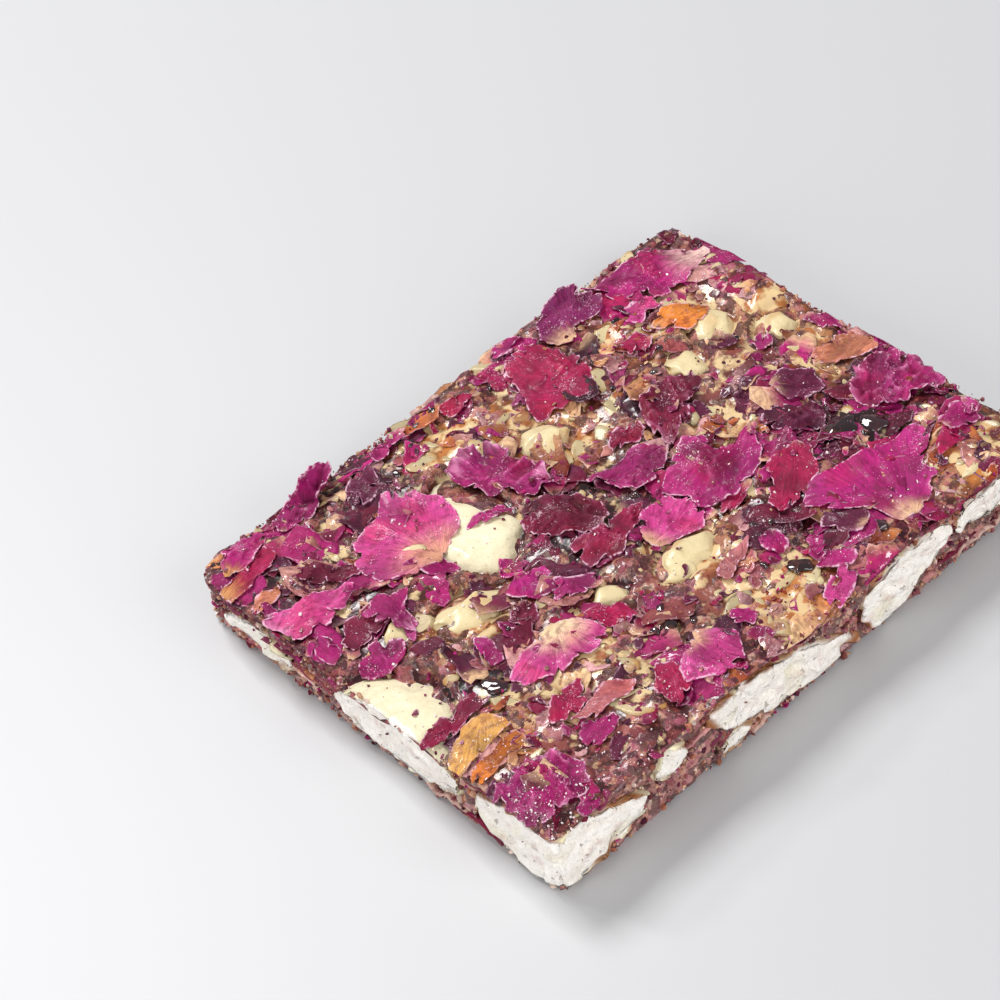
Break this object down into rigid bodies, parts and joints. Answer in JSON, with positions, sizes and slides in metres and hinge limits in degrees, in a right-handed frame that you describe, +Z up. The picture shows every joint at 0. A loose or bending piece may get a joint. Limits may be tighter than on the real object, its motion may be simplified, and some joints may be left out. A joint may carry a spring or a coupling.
{
  "type": "rose chikki",
  "caption": "Cut rectangular slab of rose petal and almond brittle, lying flat, with nuts cut flush in its sides and dried petals and glaze over its top.",
  "frame": {"origin": "middle of the flat underside", "axes": "+X along the long cut side, +Y along the short cut side to the thinner edge, +Z up"},
  "size_m": [0.0662, 0.0531, 0.0113],
  "materials": {
    "sugar_brittle": "glossy boiled sugar full of petal crumbs",
    "almond_cut": "matt white face where the knife went through",
    "almond_glazed": "cream nut under a thin coat of sugar",
    "petal_magenta": "satin dried petal",
    "petal_pink": "satin dried petal, cream at its base",
    "petal_crimson": "satin dried petal",
    "petal_dark": "satin dried petal",
    "petal_violet": "satin dried petal",
    "petal_salmon": "satin dried petal",
    "petal_orange": "glazed dried petal"
  },
  "bodies": {
    "root": {"brittle": "sugar_brittle", "almond_near_left_corner": "almond_cut", "almond_near_small": "almond_cut", "almond_near_long": "almond_cut", "almond_near_chip": "almond_cut", "almond_near_middle": "almond_cut", "almond_near_right": "almond_cut", "almond_left_far": "almond_cut", "almond_left_long": "almond_cut", "almond_far_left": "almond_cut", "almond_far_middle": "almond_cut", "almond_far_right": "almond_cut", "almond_right_far": "almond_cut", "almond_right_middle": "almond_cut", "almond_right_near": "almond_cut", "almond_top_large": "almond_glazed", "almond_top_amber": "almond_glazed", "almond_top_cream": "almond_glazed", "almond_top_slice": "almond_glazed", "almond_top_round": "almond_glazed", "almond_top_right": "almond_glazed", "almond_top_middle": "almond_glazed", "almond_top_bead": "almond_glazed", "petal_far_left_spiky": "petal_violet", "petal_torn_star": "petal_violet", "petal_crumpled_white_rim": "petal_violet", "petal_plum_middle": "petal_violet", "petal_frilled_right": "petal_violet", "petal_corner_crumpled": "petal_violet", "petal_far_left_folded": "petal_crimson", "petal_crimson_upright": "petal_crimson", "petal_crimson_small": "petal_crimson", "petal_crimson_diagonal": "petal_crimson", "petal_left_glossy": "petal_crimson", "petal_far_left_bright": "petal_magenta", "petal_cracked_large": "petal_magenta", "petal_flat_large": "petal_magenta", "petal_left_magenta": "petal_magenta", "petal_near_magenta": "petal_magenta", "petal_left_dark": "petal_dark", "petal_far_violet": "petal_dark", "petal_dark_crumpled": "petal_dark", "petal_dark_right": "petal_dark", "petal_dark_middle": "petal_dark", "petal_plum_frilled": "petal_dark", "petal_left_bleached": "petal_pink", "petal_fan": "petal_pink", "petal_far_right_pale": "petal_pink", "petal_bright_middle": "petal_pink", "petal_left_pink": "petal_pink", "petal_near_pink": "petal_pink", "petal_salmon_right": "petal_salmon", "petal_orange_striped": "petal_orange", "petal_yellow_glazed": "petal_orange"}
  },
  "joints": []
}
